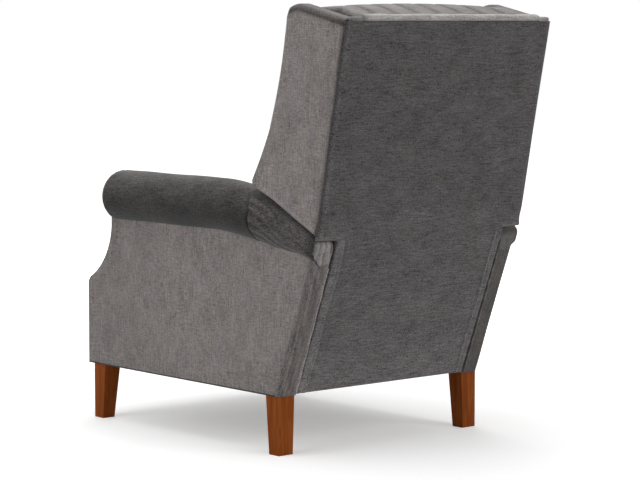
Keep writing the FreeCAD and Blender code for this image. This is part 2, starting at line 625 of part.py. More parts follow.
# Band that closes the top between the outside panel and the channels
rear = BACK_TOP[0] - BACK_SKIN - 1.2
low = BACK_TOP[1] - 4
band = slab(path((rear, low), (rear, low + 6), ((rear - 13, low + 14), (rear - 30, low + 17)), (rear - 30, low + 9),
                 ((rear - 22, low + 5), (rear - 10, low))), -WING_IN_X + FIT, WING_IN_X - FIT)
save("back_top_band", band)
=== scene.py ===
import math

import bmesh
import bpy
import numpy as np
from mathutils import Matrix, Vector


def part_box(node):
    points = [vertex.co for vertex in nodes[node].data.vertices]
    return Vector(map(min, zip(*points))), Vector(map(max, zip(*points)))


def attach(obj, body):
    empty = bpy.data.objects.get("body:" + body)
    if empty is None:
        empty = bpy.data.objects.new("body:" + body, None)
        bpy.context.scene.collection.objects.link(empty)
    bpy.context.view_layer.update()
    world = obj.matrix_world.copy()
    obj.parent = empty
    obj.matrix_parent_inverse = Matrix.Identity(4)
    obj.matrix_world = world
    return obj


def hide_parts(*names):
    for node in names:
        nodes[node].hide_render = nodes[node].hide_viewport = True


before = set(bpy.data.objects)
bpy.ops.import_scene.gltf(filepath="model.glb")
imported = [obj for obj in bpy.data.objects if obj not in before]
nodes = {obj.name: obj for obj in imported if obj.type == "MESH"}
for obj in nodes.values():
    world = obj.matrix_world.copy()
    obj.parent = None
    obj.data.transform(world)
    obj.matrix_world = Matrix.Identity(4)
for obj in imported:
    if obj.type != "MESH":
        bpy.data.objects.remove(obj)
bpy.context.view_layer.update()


# CAMERA: it stands behind the sitter's left, level with the crest of the back, with a long
# lens, and looks slightly down.
def add_object(name, data):
    """An object at the origin that holds a mesh, a lens or a lamp."""
    made = bpy.data.objects.new(name, data)
    bpy.context.scene.collection.objects.link(made)
    return made


def face_along(obj, place, sight):
    """Puts a camera or a lamp in its place, looking along sight."""
    obj.location = place
    obj.rotation_mode = "QUATERNION"
    obj.rotation_quaternion = sight.to_track_quat("-Z", "Y")


lens = bpy.data.cameras.new("camera")
lens.sensor_width = 36.0
lens.lens = 132.66
lens.clip_end = 60.0
camera = add_object("camera", lens)
face_along(camera, (4.0468, 4.7458, 1.0801), Vector((-0.6493, -0.7549, -0.0924)).normalized())
bpy.context.scene.camera = camera
bpy.context.scene.view_settings.view_transform = "Standard"

# STUDIO: one white sweep of floor under the chair and soft lamps on the sitter's left, behind,
# above and in front. The floor is seen as white, less so near the chair, and keeps its shadow.
# The world is seen as white too, but lights faintly.
FLOOR_HALF, CHAIR_MIDDLE = 14.0, Vector((0, 0, 0.5))


def start_look(name):
    """A new material, its node tree and its shader."""
    look = bpy.data.materials.new(name)
    look.use_nodes = True
    return look, look.node_tree, look.node_tree.nodes["Principled BSDF"]


def seen_by(tree, other):
    """1 on the camera's rays and on rays of one other kind, else 0: the larger of two masks."""
    ray = tree.nodes.new("ShaderNodeLightPath")
    seen = tree.nodes.new("ShaderNodeMath")
    seen.operation = "MAXIMUM"
    tree.links.new(ray.outputs["Is Camera Ray"], seen.inputs[0])
    tree.links.new(ray.outputs[other], seen.inputs[1])
    return seen.outputs[0]


floor_corners = [(x * FLOOR_HALF, y * FLOOR_HALF, 0) for x, y in ((-1, -1), (1, -1), (1, 1), (-1, 1))]
floor_mesh = bpy.data.meshes.new("floor")
floor_mesh.from_pydata(floor_corners, [], [(0, 1, 2, 3)])
floor = add_object("floor", floor_mesh)
floor_look, tree, paint = start_look("studio_floor")
paint.inputs["Base Color"].default_value = (0.80, 0.80, 0.80, 1)
paint.inputs["Roughness"].default_value = 0.9
paint.inputs["Specular IOR Level"].default_value = 0.0
place = tree.nodes.new("ShaderNodeTexCoord")
reach = tree.nodes.new("ShaderNodeVectorMath")
reach.operation = "LENGTH"
tree.links.new(place.outputs["Object"], reach.inputs[0])
away = tree.nodes.new("ShaderNodeMapRange")
away.interpolation_type = "SMOOTHSTEP"
away.inputs["From Min"].default_value = 0.9
away.inputs["From Max"].default_value = 2.6
away.inputs["To Min"].default_value = 0.34
tree.links.new(reach.outputs["Value"], away.inputs["Value"])
level = tree.nodes.new("ShaderNodeMath")
level.operation = "MULTIPLY"
tree.links.new(seen_by(tree, "Is Glossy Ray"), level.inputs[0])
tree.links.new(away.outputs["Result"], level.inputs[1])
paint.inputs["Emission Color"].default_value = (1, 1, 1, 1)
tree.links.new(level.outputs[0], paint.inputs["Emission Strength"])
floor.data.materials.append(floor_look)

world = bpy.data.worlds.new("studio")
bpy.context.scene.world = world
world.use_nodes = True
tree = world.node_tree
air = tree.nodes["Background"]
glow = tree.nodes.new("ShaderNodeMapRange")
glow.inputs["To Min"].default_value = 0.27
glow.inputs["To Max"].default_value = 1.0
tree.links.new(seen_by(tree, "Is Transmission Ray"), glow.inputs["Value"])
tree.links.new(glow.outputs["Result"], air.inputs["Strength"])
air.inputs["Color"].default_value = (1, 1, 1, 1)


def lamp(name, place, size, power):
    """A round soft lamp that faces the middle of the chair."""
    disk = bpy.data.lights.new(name, "AREA")
    disk.shape = "DISK"
    disk.size = size
    disk.energy = power
    face_along(add_object(name, disk), place, CHAIR_MIDDLE - Vector(place))


lamp("lamp_key", (4.4, -0.4, 3.2), size=4.0, power=72)
lamp("lamp_rear", (-1.4, 4.6, 2.2), size=3.6, power=88)
lamp("lamp_top", (0.2, -0.3, 4.2), size=4.4, power=110)
lamp("lamp_front", (-2.6, -4.0, 2.8), size=4.2, power=86)


# ARM COVERS: upholstery cloth drawn over each arm block, outside, front edge, rear edge and
# inside. The front edge is crisp with a scooped line, and the rear outer corner is soft,
# with upright folds where the cloth is turned round it.
def arc(a, mid, b, count=24):
    """Points of the circle through three points, from a to b by the shorter way: the centre is
    where the perpendicular bisectors of a-mid and mid-b meet."""
    a, mid, b = (np.array(p, float) for p in (a, mid, b))
    rows = np.array([mid - a, b - mid])
    centre = np.linalg.solve(rows, [(mid @ mid - a @ a) / 2, (b @ b - mid @ mid) / 2])
    begin, end = (math.atan2(*(p - centre)[::-1]) for p in (a, b))
    sweep = (end - begin + math.pi) % (2 * math.pi) - math.pi
    angle = begin + sweep * np.linspace(0, 1, count)
    return centre + np.linalg.norm(a - centre) * np.stack([np.cos(angle), np.sin(angle)], 1)


def along(parts, share):
    """Points at the given shares of the way along an open line made of parts, by its length."""
    line = np.vstack([np.atleast_2d(p) for p in parts]).astype(float)
    run = np.concatenate([[0], np.cumsum(np.linalg.norm(np.diff(line, axis=0), axis=1))])
    return np.stack([np.interp(share * run[-1], run, line[:, k]) for k in (0, 1)], 1)


def spread(count, first, last, dense):
    """Shares from 0 to 1: dense of them close together within first of the start and within
    last of the end, by a power of 1.5, and count even ones between."""
    near = np.linspace(0, 1, dense, endpoint=False) ** 1.5
    return np.concatenate([first * near, np.linspace(first, 1 - last, count), 1 - last * near[::-1]])


def patch(low, high, left, right, u, v):
    """Grid between four edges: low and high run with u, left and right with v. Each point is
    the sum of the two ruled surfaces less the bilinear surface of the corners."""
    low, high, left, right = along(low, u), along(high, u), along(left, v), along(right, v)
    u, v = u[None, :, None], v[:, None, None]
    corners = (1 - u) * ((1 - v) * low[0] + v * high[0]) + u * ((1 - v) * low[-1] + v * high[-1])
    ruled = (1 - v) * low + v * high + (1 - u) * left[:, None] + u * right[:, None]
    return ruled - corners, (low, high, left, right)


def off_edge(grid, edge):
    """Distance of each grid point from an open line, the least over the line's straight steps."""
    step = np.diff(edge, axis=0)
    away = grid[..., None, :] - edge[:-1]
    share = ramp((away * step).sum(-1) / np.maximum((step ** 2).sum(-1), 1e-12))
    return np.linalg.norm(away - share[..., None] * step, axis=-1).min(-1)


def stuffed_board(name, grid, edges, eases, thick, place, levels):
    """Closed board over a grid. Its near face falls away towards each edge by a quarter
    ellipse with half-axes near (inwards) and deep, its far face by a quarter circle far, as
    eases say edge by edge, and a wall of so many levels joins the rims. place turns
    (p, q, depth) into x, y, z."""
    number = np.arange(grid[..., 0].size).reshape(grid.shape[:2])
    near_depth, far_depth = np.zeros(number.shape), np.zeros(number.shape)
    for edge, (near, deep, far) in zip(edges, eases):
        off = off_edge(grid, edge)
        for depth, reach, fall in ((near_depth, near, deep), (far_depth, far, far)):
            s = ramp(1 - off / reach)
            np.maximum(depth, fall * (1 - np.sqrt(1 - s * s)), out=depth)
    skins = [np.dstack([grid, depth]).reshape(-1, 3) for depth in (near_depth, thick - far_depth)]
    rim = np.concatenate([number[0], number[1:, -1], number[-1, -2::-1], number[-2:0:-1, 0]])
    steps = np.linspace(0, 1, levels)[1:-1, None, None]
    walls = skins[0][rim] + (skins[1][rim] - skins[0][rim]) * steps
    points = place(np.vstack([skins[0], walls.reshape(-1, 3), skins[1]]))
    inner = number.size + np.arange(walls[..., 0].size).reshape(-1, len(rim))
    far_skin = number.size + inner.size
    rings = np.vstack([rim, inner, rim + far_skin])
    after = np.roll(rings, -1, 1)
    skin = np.stack([number[:-1, :-1], number[:-1, 1:], number[1:, 1:], number[1:, :-1]], -1).reshape(-1, 4)
    wall = np.stack([rings[:-1], after[:-1], after[1:], rings[1:]], -1).reshape(-1, 4)
    mesh = bpy.data.meshes.new(name)
    mesh.from_pydata(points.tolist(), [], np.vstack([skin, skin + far_skin, wall]).tolist())
    return smooth_object(name, mesh)


def smooth_object(name, mesh):
    """An object of a mesh with its faces turned outwards and shaded smooth."""
    work = bmesh.new()
    work.from_mesh(mesh)
    bmesh.ops.recalc_face_normals(work, faces=work.faces)
    work.to_mesh(mesh)
    work.free()
    mesh.polygons.foreach_set("use_smooth", np.ones(len(mesh.polygons), bool))
    return add_object(name, mesh)


def vectors(items, label):
    """One vector of each vertex, normal or face as the rows of an array."""
    values = np.empty(len(items) * 3, np.float32)
    items.foreach_get(label, values)
    return values.reshape(-1, 3).astype(float)


def move_points(obj, points):
    """Puts an object's points in new places."""
    obj.data.vertices.foreach_set("co", points.astype(np.float32).ravel())
    obj.data.update()


def push(obj, amount, *more):
    """Moves each point along its normal by amount(x, y, z, normals, *more)."""
    points, normal = vectors(obj.data.vertices, "co"), vectors(obj.data.vertex_normals, "vector")
    move_points(obj, points + normal * amount(*points.T, normal, *more)[:, None])


def paint_tone_and_light(obj, amount, *more):
    """Keeps amount(x, y, z, normals, *more), the share by which the cloth's colour is made lighter
    or darker there, as a float attribute of the points: painted shade and painted highlights."""
    points, normal = vectors(obj.data.vertices, "co"), vectors(obj.data.vertex_normals, "vector")
    tone_and_painted_light = obj.data.attributes.new("tone_and_painted_light", "FLOAT", "POINT")
    tone_and_painted_light.data.foreach_set("value", amount(*points.T, normal, *more).astype(np.float32))


def ramp(share):
    """A straight rise from 0 to 1, level before and after."""
    return np.clip(share, 0, 1)


def ridge(distance, width):
    """A bell across a line: 1 on it, and e to the minus square of the distance in widths."""
    return np.exp(-(distance / width) ** 2)


def hump(share):
    """A full swell, the sine of half a turn to the power 0.7, from a share of 0 to one of 1."""
    return np.sin(math.pi * ramp(share)) ** 0.7


def pile_cloth():
    """Colour and height of a chenille with a short pile. The colour is the base times one plus
    Weave times the spread of three clouds (threads along the first coordinate, threads across,
    and 3 mm tufts) plus Patch times a slow cloud, then times one plus the painted light and
    shade kept on the points. Flecks darken, and a slow cloud warms or cools the hue."""
    group = bpy.data.node_groups.new("pile_cloth", "ShaderNodeTree")
    kinds = {"Vector": "NodeSocketVector", "Base": "NodeSocketColor"}
    for label in ("Vector", "Base", "Weave", "Patch", "Fleck", "Tone_and_painted_light"):
        group.interface.new_socket(label, in_out="INPUT", socket_type=kinds.get(label, "NodeSocketFloat"))
    group.interface.new_socket("Color", in_out="OUTPUT", socket_type="NodeSocketColor")
    group.interface.new_socket("Height", in_out="OUTPUT", socket_type="NodeSocketFloat")
    put, take = group.nodes.new("NodeGroupInput"), group.nodes.new("NodeGroupOutput")
    link = group.links.new

    def cloud(scale, shift, low, high, detail, least=-1.0):
        """Noise cut between low and high and spread from least to 1."""
        stretch = group.nodes.new("ShaderNodeMapping")
        stretch.inputs["Scale"].default_value = scale
        stretch.inputs["Location"].default_value = shift
        link(put.outputs["Vector"], stretch.inputs["Vector"])
        noise = group.nodes.new("ShaderNodeTexNoise")
        noise.inputs["Scale"].default_value = 1.0
        noise.inputs["Detail"].default_value = detail
        link(stretch.outputs["Vector"], noise.inputs["Vector"])
        cut = group.nodes.new("ShaderNodeMapRange")
        cut.inputs["From Min"].default_value = low
        cut.inputs["From Max"].default_value = high
        cut.inputs["To Min"].default_value = least
        link(noise.outputs["Fac"], cut.inputs["Value"])
        return cut.outputs["Result"]

    def maths(kind, *terms):
        """One step of arithmetic on numbers and sockets."""
        node = group.nodes.new("ShaderNodeMath")
        node.operation = kind
        for socket, value in zip(node.inputs, terms):
            if isinstance(value, (int, float)):
                socket.default_value = value
            else:
                link(value, socket)
        return node.outputs[0]

    lengthwise = cloud((34, 360, 360), (3, 1, 7), 0.22, 0.78, 2.0)
    crosswise = cloud((360, 52, 360), (2, 9, 4), 0.22, 0.78, 2.0)
    tufts = cloud((300, 300, 300), (1, 4, 6), 0.25, 0.75, 1.0)
    slow = cloud((15, 21, 21), (5, 3, 8), 0.25, 0.75, 4.0)
    fleck = cloud((150, 260, 260), (8, 2, 5), 0.60, 0.70, 1.0, least=0.0)
    hue = cloud((16, 44, 44), (4, 7, 1), 0.30, 0.70, 3.0)
    weave = maths("MULTIPLY_ADD", crosswise, 0.85, lengthwise)
    weave = maths("MULTIPLY_ADD", tufts, 0.9, weave)
    level = maths("MULTIPLY_ADD", weave, put.outputs["Weave"], 1.0)
    level = maths("MULTIPLY_ADD", slow, put.outputs["Patch"], level)
    level = maths("MAXIMUM", maths("SUBTRACT", level, maths("MULTIPLY", fleck, put.outputs["Fleck"])), 0.2)
    level = maths("MULTIPLY", level, maths("ADD", put.outputs["Tone_and_painted_light"], 1.0))
    shade = group.nodes.new("ShaderNodeVectorMath")
    shade.operation = "SCALE"
    link(put.outputs["Base"], shade.inputs[0])
    link(level, shade.inputs["Scale"])
    tint = group.nodes.new("ShaderNodeCombineXYZ")
    link(maths("MULTIPLY_ADD", hue, 0.022, 1.0), tint.inputs["X"])
    tint.inputs["Y"].default_value = 1.0
    link(maths("MULTIPLY_ADD", hue, -0.030, 1.0), tint.inputs["Z"])
    tinted = group.nodes.new("ShaderNodeVectorMath")
    tinted.operation = "MULTIPLY"
    link(shade.outputs[0], tinted.inputs[0])
    link(tint.outputs[0], tinted.inputs[1])
    link(tinted.outputs[0], take.inputs["Color"])
    link(weave, take.inputs["Height"])
    return group


def stand_up(tree, bsdf, height, strength, depth):
    """Lets a height pattern stand the surface up by a bump."""
    bump = tree.nodes.new("ShaderNodeBump")
    bump.inputs["Strength"].default_value = strength
    bump.inputs["Distance"].default_value = depth
    tree.links.new(height, bump.inputs["Height"])
    tree.links.new(bump.outputs["Normal"], bsdf.inputs["Normal"])


cloth_pattern = pile_cloth()
LIES = {"x": (0, 0, 0), "y": (0, 0, math.radians(-90)), "z": (0, math.radians(90), 0)}


def cloth(name, shade, lies, weave=0.3, blotch=0.15, fleck=0.25, sheen=0.25):
    """Upholstery cloth of one shade, its threads drawn out along x, y or z. weave, blotch and
    fleck say how strong the threads, the slow cloud and the dark flecks are."""
    look, tree, bsdf = start_look(name)
    where = tree.nodes.new("ShaderNodeTexCoord")
    turned = tree.nodes.new("ShaderNodeMapping")
    turned.inputs["Rotation"].default_value = LIES[lies]
    pattern = tree.nodes.new("ShaderNodeGroup")
    pattern.node_tree = cloth_pattern
    pattern.inputs["Base"].default_value = (*shade, 1)
    pattern.inputs["Weave"].default_value = weave
    pattern.inputs["Patch"].default_value = blotch
    pattern.inputs["Fleck"].default_value = fleck
    # The points' painted shade and painted highlights lighten or darken the cloth's colour.
    tone_and_light_input = tree.nodes.new("ShaderNodeAttribute")
    tone_and_light_input.attribute_name = "tone_and_painted_light"
    tree.links.new(tone_and_light_input.outputs["Fac"], pattern.inputs["Tone_and_painted_light"])
    tree.links.new(where.outputs["Object"], turned.inputs["Vector"])
    tree.links.new(turned.outputs["Vector"], pattern.inputs["Vector"])
    tree.links.new(pattern.outputs["Color"], bsdf.inputs["Base Color"])
    stand_up(tree, bsdf, pattern.outputs["Height"], 0.35, 0.0008)
    bsdf.inputs["Roughness"].default_value = 0.92
    bsdf.inputs["Specular IOR Level"].default_value = 0.12
    bsdf.inputs["Sheen Weight"].default_value = sheen
    bsdf.inputs["Sheen Roughness"].default_value = 0.45
    return look


side_cloth = cloth("cloth_side", (0.224, 0.2025, 0.195), "z", weave=0.30, blotch=0.16, fleck=0.30)
SIDES = (("left", 1.0), ("right", -1.0))
ARM_OUT, ARM_IN, ARM_LOW, ARM_TOP, ARM_FRONT = 0.345, 0.288, 0.149, 0.585, -0.530
ARM_HEEL, ARM_RAKE, ARM_REAR_TOP = 0.285, 0.377, 0.516
SCOOP, SCOOP_LOW, SCOOP_HIGH = -0.420, 0.388, 0.532
ROLL_X, ROLL_Z, ROLL_RADIUS, ROLL_BENDS, ROLL_SLOPE = 0.3095, 0.612, 0.0695, 0.030, 0.400


def arm_rear(z):
    """Y of the arm's rear edge, a straight line that rakes back with the height."""
    return ARM_HEEL + ARM_RAKE * (z - ARM_LOW)


def roll_line(y):
    """Centre x, z and radius of the arm's roll at y: level in front, then 13 mm outwards,
    100 mm down and 39.5 mm thinner, each by a power of the way along the slope."""
    t = ramp((y - ROLL_BENDS) / ROLL_SLOPE)
    return ROLL_X + 0.0130 * t ** 2.2, ROLL_Z - 0.100 * t ** 1.75, ROLL_RADIUS - 0.0395 * t ** 2.2


under_roll = np.linspace(SCOOP, 0.34, 40)[1:]
roll_middle, roll_thick = roll_line(under_roll)[1:]
rear_low, rear_top = (arm_rear(ARM_LOW), ARM_LOW), (arm_rear(ARM_REAR_TOP), ARM_REAR_TOP)
arm_top = [(SCOOP, ARM_TOP), np.column_stack([under_roll, roll_middle - 0.32 * roll_thick]), rear_top]
scoop_foot = (ARM_FRONT + 0.015, SCOOP_LOW)
arm_front = [(ARM_FRONT, ARM_LOW), arc((ARM_FRONT, 0.364), (ARM_FRONT + 0.0035, 0.378), scoop_foot),
             arc(scoop_foot, (SCOOP - 0.033, 0.444), (SCOOP, SCOOP_HIGH)), (SCOOP, ARM_TOP)]
arm_grid, arm_edges = patch([(ARM_FRONT, ARM_LOW), rear_low], arm_top, arm_front, [rear_low, rear_top],
                            spread(130, 0.0075, 0.026, 12), spread(90, 0.011, 0.012, 7))
arm_eases = ((0.004,) * 3, (0.005,) * 3, (0.005,) * 3, (0.017, 0.013, 0.0035))


def arm_folds(x, y, z, normal, way):
    """The side swells 3 mm between its edges; upright folds stand in the turn of the rear
    corner and the strip behind it; the cloth is drawn up in shallow waves below the roll."""
    outer = ramp(normal[:, 0] * way * 2 - 0.8)
    swell = hump((y - ARM_FRONT) / 0.84) * hump((z - ARM_LOW) / 0.42)
    back_off = arm_rear(z) - y
    near = ridge(np.maximum(back_off, 0), 0.020) * ramp((z - ARM_LOW - 0.004) / 0.04)
    around = np.abs(x) - back_off
    folds = 0.6 * np.sin(around * 560 + 1.6 * np.sin(z * 13))
    folds += 0.4 * np.sin(around * 310 + 2.2 * np.sin(z * 21 + 1))
    waves = np.sin(y * 31 + 2 * np.sin(z * 9)) * ridge(z - 0.52, 0.05)
    return outer * (0.0030 * swell + 0.0007 * waves) + (0.0013 if way > 0 else 0.0004) * near * folds


def arm_painted_light(x, y, z, normal, way):
    """Painted shade round the left arm's rear corner and on the band behind it, with painted streaks
    of light and shade and a painted highlight on the lip by the inner edge, painted shade all over
    the right arm's rear, and a little painted shade towards the front of both sides."""
    back_off = arm_rear(z) - y
    across = (ARM_OUT - np.abs(x)) - back_off
    corner = -0.34 * ridge(across, 0.018)
    band = -0.38 * ramp((across - 0.010) / 0.012) + 0.45 * ridge(across - (ARM_OUT - ARM_IN) + 0.004, 0.005)
    streaks = np.sin(across * 420 + 2.0 * np.sin(z * 17))
    streaks += np.sin(across * 190 + z * 60 + 1.5 * np.sin(z * 41))
    rear = (back_off < 0.05) * (z < 0.52) * (corner + band + 0.12 * streaks * ridge(across - 0.018, 0.028))
    if way < 0:
        rear = -0.62 * ramp(normal[:, 1] * 2)
    return rear - 0.10 * ramp(np.abs(normal[:, 0]) * 3 - 1) * ramp((-0.12 - y) / 0.3)


for side, way in SIDES:
    cover = stuffed_board("arm_cover_" + side, arm_grid, arm_edges, arm_eases, ARM_OUT - ARM_IN,
                          lambda at: np.stack([way * (ARM_OUT - at[:, 2]), at[:, 0], at[:, 1]], 1), 12)
    push(cover, arm_folds, way)
    paint_tone_and_light(cover, arm_painted_light, way)
    cover.data.materials.append(side_cloth)
    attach(cover, "base")
    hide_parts(f"arm_outer_panel_{side}", f"arm_inner_panel_{side}", f"arm_front_band_{side}",
                f"arm_rear_band_{side}")


# ARM WELTS: thin cloth-covered cords sewn in where the side panels meet the front edge, a
# dark one along the lower edge above the legs, and one down the rear inner edge.
def closed_mesh(name, rows):
    """Mesh of rows that are closed rings, the first and last drawn into one point each."""
    count, around = rows.shape[:2]
    ring = np.arange(around)
    after = np.roll(ring, -1)
    points = np.vstack([rows[0].mean(0), rows[1:-1].reshape(-1, 3), rows[-1].mean(0)])
    base = 1 + np.arange(count - 3)[:, None] * around
    quads = np.stack([base + ring, base + after, base + after + around, base + ring + around], -1)
    last = len(points) - 1
    fans = np.vstack([np.stack([0 * ring, 1 + after, 1 + ring], 1),
                      last - np.stack([0 * ring, around - ring, around - after], 1)])
    mesh = bpy.data.meshes.new(name)
    mesh.from_pydata(points.tolist(), [], quads.reshape(-1, 4).tolist() + fans.tolist())
    return smooth_object(name, mesh)


def tube(name, x, y, z, radius, sides=8):
    """Closed round cord along an open line: rings square to the line's direction, turned by
    the axis that the line runs along least."""
    line = np.stack(np.broadcast_arrays(x, y, z), 1)
    run = np.gradient(line, axis=0)
    run /= np.linalg.norm(run, axis=1)[:, None]
    first = np.cross(run, np.eye(3)[np.abs(run).max(0).argmin()])
    first /= np.linalg.norm(first, axis=1)[:, None]
    second = np.cross(run, first)
    angle = np.linspace(0, 2 * math.pi, sides, endpoint=False)[None, :, None]
    rings = line[:, None] + radius * (np.cos(angle) * first[:, None] + np.sin(angle) * second[:, None])
    begin, end = np.repeat(line[:1, None], sides, 1), np.repeat(line[-1:, None], sides, 1)
    return closed_mesh(name, np.concatenate([begin, rings, end]))


def rear_welt_painted_light(x, y, z, normal, way):
    """A painted highlight on the left arm and painted shade on the right one, uneven down its length."""
    return (0.40 if way > 0 else -0.45) + 0.15 * np.sin(z * 130 + 2 * np.sin(z * 31))


# The welts are real cords, but their cloth is made dark to paint the shade line along the seams.
welt_cloth = cloth("cloth_welt", (0.062, 0.058, 0.056), "z", weave=0.15, blotch=0.1, fleck=0.1, sheen=0.1)
front_y, front_z = along(arm_front, np.linspace(0, 0.94, 110)).T
low_y = np.linspace(ARM_FRONT + 0.004, 0.270, 120)
rear_z = np.linspace(ARM_LOW + 0.006, 0.478, 120)
for side, way in SIDES:
    for name, x, y, z, radius in (
            ("arm_front_welt_outer_" + side, ARM_OUT - 0.0022, front_y + 0.0016, front_z, 0.0021),
            ("arm_front_welt_inner_" + side, ARM_IN + 0.0022, front_y + 0.0016, front_z, 0.0021),
            ("arm_base_welt_" + side, ARM_OUT - 0.0014, low_y, ARM_LOW + 0.0022, 0.0024)):
        cord = tube(name, way * x, y, z, radius)
        cord.data.materials.append(welt_cloth)
        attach(cord, "base")
    wavy_x = ARM_IN + 0.0035 + 0.0006 * np.sin(rear_z * 90)
    cord = tube("arm_rear_welt_" + side, way * wavy_x, arm_rear(rear_z) + 0.0002, rear_z, 0.0026)
    paint_tone_and_light(cord, rear_welt_painted_light, way)
    cord.data.materials.append(side_cloth)
    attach(cord, "base")

# ARM ROLLS: stuffed rolls on top of the arms, level in front and sloping down to the rear,
# with a seam where the cloth is pieced and drag lines behind it. The front ends are round
# facings set in with a welt, and the small rear ends are gathered flat.
end_cloth = cloth("cloth_roll_end", (0.226, 0.208, 0.200), "z", weave=0.16, blotch=0.15, fleck=0.2)
roll_cloth = cloth("cloth_roll", (0.0745, 0.0672, 0.0648), "y", weave=0.66, blotch=0.4, fleck=0.4, sheen=0.34)
ROLL_FRONT, ROLL_END, FACING_SWELL = -0.424, 0.430, 0.002
FACING_INSET, FRONT_DEEP, END_INSET, END_DEEP = 0.011, 0.016, 0.008, 0.010

# Rings from front to back: the facing, the turn round its edge, the body, the turn into the
# rear end, and the rear end. Each has its y, how far it is drawn in from the roll's radius,
# and its share of what is left.
facing, rear_end = np.array([0.0, 0.35, 0.7, 0.88]), np.array([0.85, 0.6, 0.3, 0.0])
body = np.linspace(ROLL_FRONT + 0.020, ROLL_END - 0.014, 150)
front_turn, rear_turn = np.linspace(0, math.pi / 2, 12), np.linspace(0, math.pi / 2, 9)
ring_y = np.concatenate([ROLL_FRONT + FACING_SWELL * facing ** 3,
                         ROLL_FRONT + FACING_SWELL + FRONT_DEEP * (1 - np.cos(front_turn)), body,
                         ROLL_END - END_DEEP * (1 - np.sin(rear_turn)), ROLL_END - 0.002 * (1 - rear_end)])
drawn_in = np.concatenate([0 * facing + FACING_INSET, FACING_INSET * (1 - np.sin(front_turn)), 0 * body,
                           END_INSET * (1 - np.cos(rear_turn)), 0 * rear_end + END_INSET])
share = np.concatenate([facing, 0 * front_turn + 1, 0 * body + 1, 0 * rear_turn + 1, rear_end])
ring_x, ring_z, ring_r = roll_line(np.concatenate([ring_y[:-len(rear_end)], 0 * rear_end + ROLL_END]))
ring_r = (ring_r - drawn_in) * share
ring_x, ring_y, ring_z, ring_r = (value[:, None] for value in (ring_x, ring_y, ring_z, ring_r))

# Towards the rear the round section turns into a rounded box above, with a slanted cut below
# on the outer side, and the rings lean back with the height, as the arm's rear does.
around = np.linspace(0, 2 * math.pi, 112, endpoint=False)
up, out = np.sin(around), np.cos(around)
tail = ramp((ring_y - 0.270) / 0.130)
tail = tail * tail * (3 - 2 * tail)
boxy = 1 / (np.abs(up) ** 3.4 + np.abs(out) ** 3.4) ** (1 / 3.4)
slanted = 1 - 0.22 * np.sin(2 * around) ** 2
section = np.where(up > 0, boxy, np.where(out > 0, slanted, 1 + 0.4 * (boxy - 1)))
reach = ring_r * (1 + tail * (section - 1))
roll_grid = np.stack([ring_x + reach * out * np.where(out < 0, 1 + 0.20 * tail, 1),
                      ring_y - 0.36 * tail * (0.018 - reach * up), ring_z + reach * up], -1)


def on_roll(x, y, z):
    """Where a point of the roll is: its angle round the roll, 0 outside and a quarter turn on
    top; how far it is behind the sewn seam, which leans back as it comes down; its place
    across the pleats, which draw together upwards; and its place across the roll."""
    centre_x, centre_z = roll_line(y)[:2]
    across = np.abs(x) - centre_x
    turn = np.arctan2(z - centre_z, across)
    seam = y - (0.196 + 0.020 * np.clip(-turn, -1, 1.2) ** 2 * np.sign(-turn + 0.4))
    return turn, seam, across * (1 + 9 * (z - centre_z)), across


def drag_lines(turn, seam, y, length):
    """Waves that fan out behind the seam and fade over a length."""
    waves = np.sin(turn * 15 + seam * 60 + 1.5 * np.sin(y * 45))
    return waves * ramp(seam / 0.012) * np.exp(-np.maximum(seam, 0) / length)


def roll_folds(x, y, z, normal, way):
    """A sewn seam, drag lines that fan out behind it, gathers behind the front welt, soft
    upright folds on the rear end and one slow wave along the roll."""
    turn, seam, pleat = on_roll(x, y, z)[:3]
    outer = ramp(np.cos(turn) * 1.3 + 0.3)
    drag = drag_lines(turn, seam, y, 0.110) * outer * ramp(0.9 - turn)
    gather = np.sin(turn * 22 + np.sin(turn * 5)) * ridge(y - ROLL_FRONT - 0.024, 0.012)
    back_end = ramp(normal[:, 1] * 2 - 0.9) * (y > 0.3) * (1.0 if way > 0 else 0.3)
    folds = (0.7 * np.sin(pleat * 300 + 0.5) + 0.5 * np.sin(pleat * 560 + z * 40)) * back_end
    slow = 0.0006 * np.sin(y * 26 + turn * 2)
    return -0.0020 * ridge(seam, 0.003) * outer + 0.0015 * drag + 0.0008 * gather + 0.0013 * folds + slow


def roll_painted_light(x, y, z, normal, way):
    """Painted light along the top and painted shade below, darker towards the seam; behind it the
    drag lines get painted streaks of light and shade. The front facing is even, and the rear end
    has painted pleat shading on the left roll and painted shade on the right one."""
    turn, seam, pleat, across = on_roll(x, y, z)
    low = ramp((1.25 - turn) / 1.3) * (np.cos(turn) > -0.5)
    under = ramp(-turn / 1.2) * (np.cos(turn) > -0.3)
    ahead = ramp((y + 0.33) / 0.35) * (seam < 0)
    end = ramp(normal[:, 1] * 2 - 0.9) * (y > 0.38)
    edge = ramp((y - 0.395) / 0.015) * (1 - end) * (np.cos(turn) > 0.2)
    body = -0.59 * low * (1 - 0.80 * ramp(seam / 0.02)) - 0.34 * under - 0.08 * ahead * low
    body += 0.34 * drag_lines(turn, seam, y, 0.130) - 0.45 * ridge(seam, 0.0035) - 0.45 * edge
    rear = -0.60 + 0.12 * np.sin(z * 90)
    if way > 0:
        rear = 0.20 * np.sin(pleat * 300 + 0.9) + 0.12 * np.sin(pleat * 560 + z * 40)
        rear -= 0.35 * ridge(across + 0.028, 0.006)
    front = ramp(-normal[:, 1] * 3 - 1) * (y < -0.40)
    return (1 - end - front) * body + end * rear - 0.25 * front


